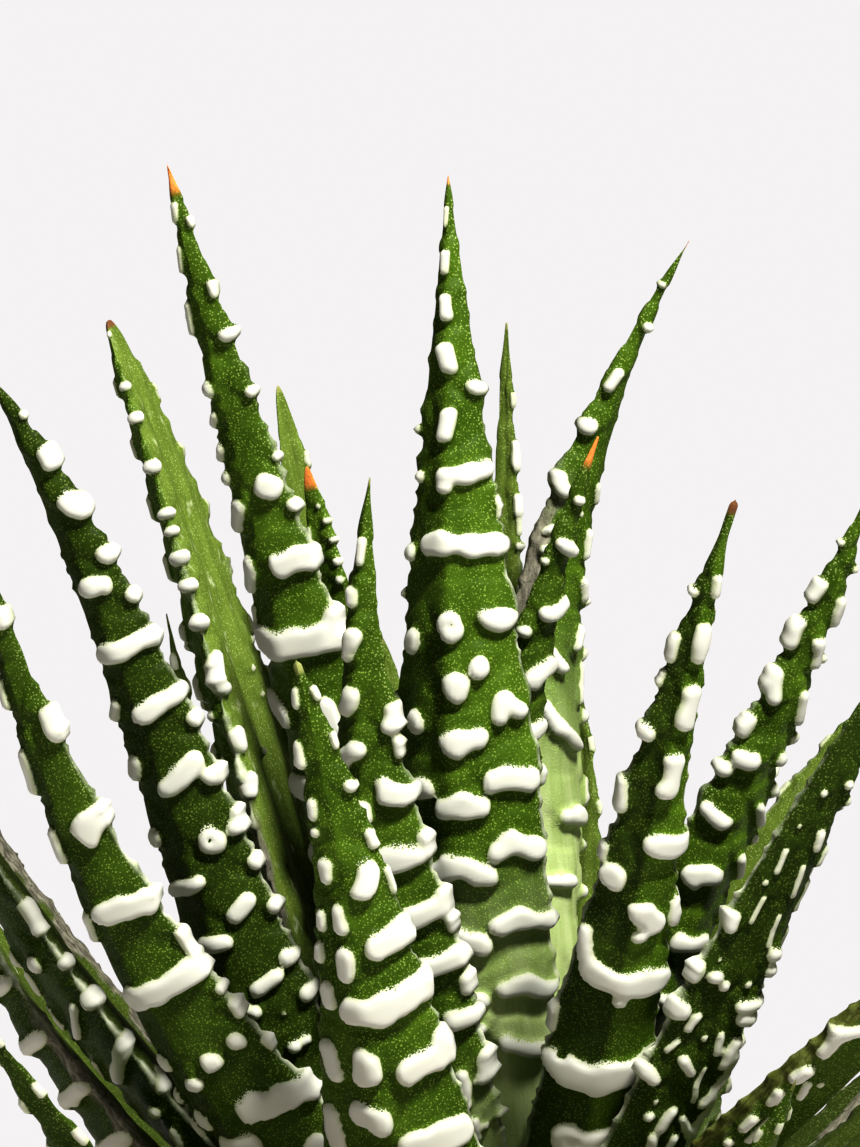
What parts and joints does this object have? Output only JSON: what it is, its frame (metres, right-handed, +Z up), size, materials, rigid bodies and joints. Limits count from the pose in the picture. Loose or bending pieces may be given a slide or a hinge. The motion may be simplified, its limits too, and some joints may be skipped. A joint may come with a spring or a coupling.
{
  "type": "potted haworthia",
  "caption": "Small rosette succulent with pointed keeled leaves and raised white bands, on a short stem rooted in soil in a plain tapered clay pot.",
  "frame": {"origin": "centre of the pot's flat underside", "axes": "+Z up along the pot's axis; -Y towards the side that the picture was taken from"},
  "size_m": [0.1184, 0.108, 0.2004],
  "materials": {
    "pot": "plain unglazed clay",
    "soil": "loose dark potting soil",
    "stem": "pale fleshy stem",
    "leaf": "fleshy dark green leaf skin with raised white tubercles"
  },
  "bodies": {
    "root": {"pot": "pot", "soil": "soil", "stem": "stem", "leaf_01": "leaf", "leaf_02": "leaf", "leaf_03": "leaf", "leaf_04": "leaf", "leaf_05": "leaf", "leaf_06": "leaf", "leaf_07": "leaf", "leaf_08": "leaf", "leaf_09": "leaf", "leaf_10": "leaf", "leaf_11": "leaf", "leaf_12": "leaf", "leaf_13": "leaf", "leaf_14": "leaf", "leaf_15": "leaf", "leaf_16": "leaf", "leaf_17": "leaf", "leaf_18": "leaf", "leaf_19": "leaf", "leaf_20": "leaf", "leaf_21": "leaf", "leaf_22": "leaf", "leaf_23": "leaf", "leaf_24": "leaf", "leaf_25": "leaf", "leaf_26": "leaf", "leaf_27": "leaf", "leaf_28": "leaf", "leaf_29": "leaf", "leaf_30": "leaf", "leaf_31": "leaf", "leaf_32": "leaf", "leaf_33": "leaf", "leaf_34": "leaf", "leaf_35": "leaf", "leaf_36": "leaf"}
  },
  "joints": []
}
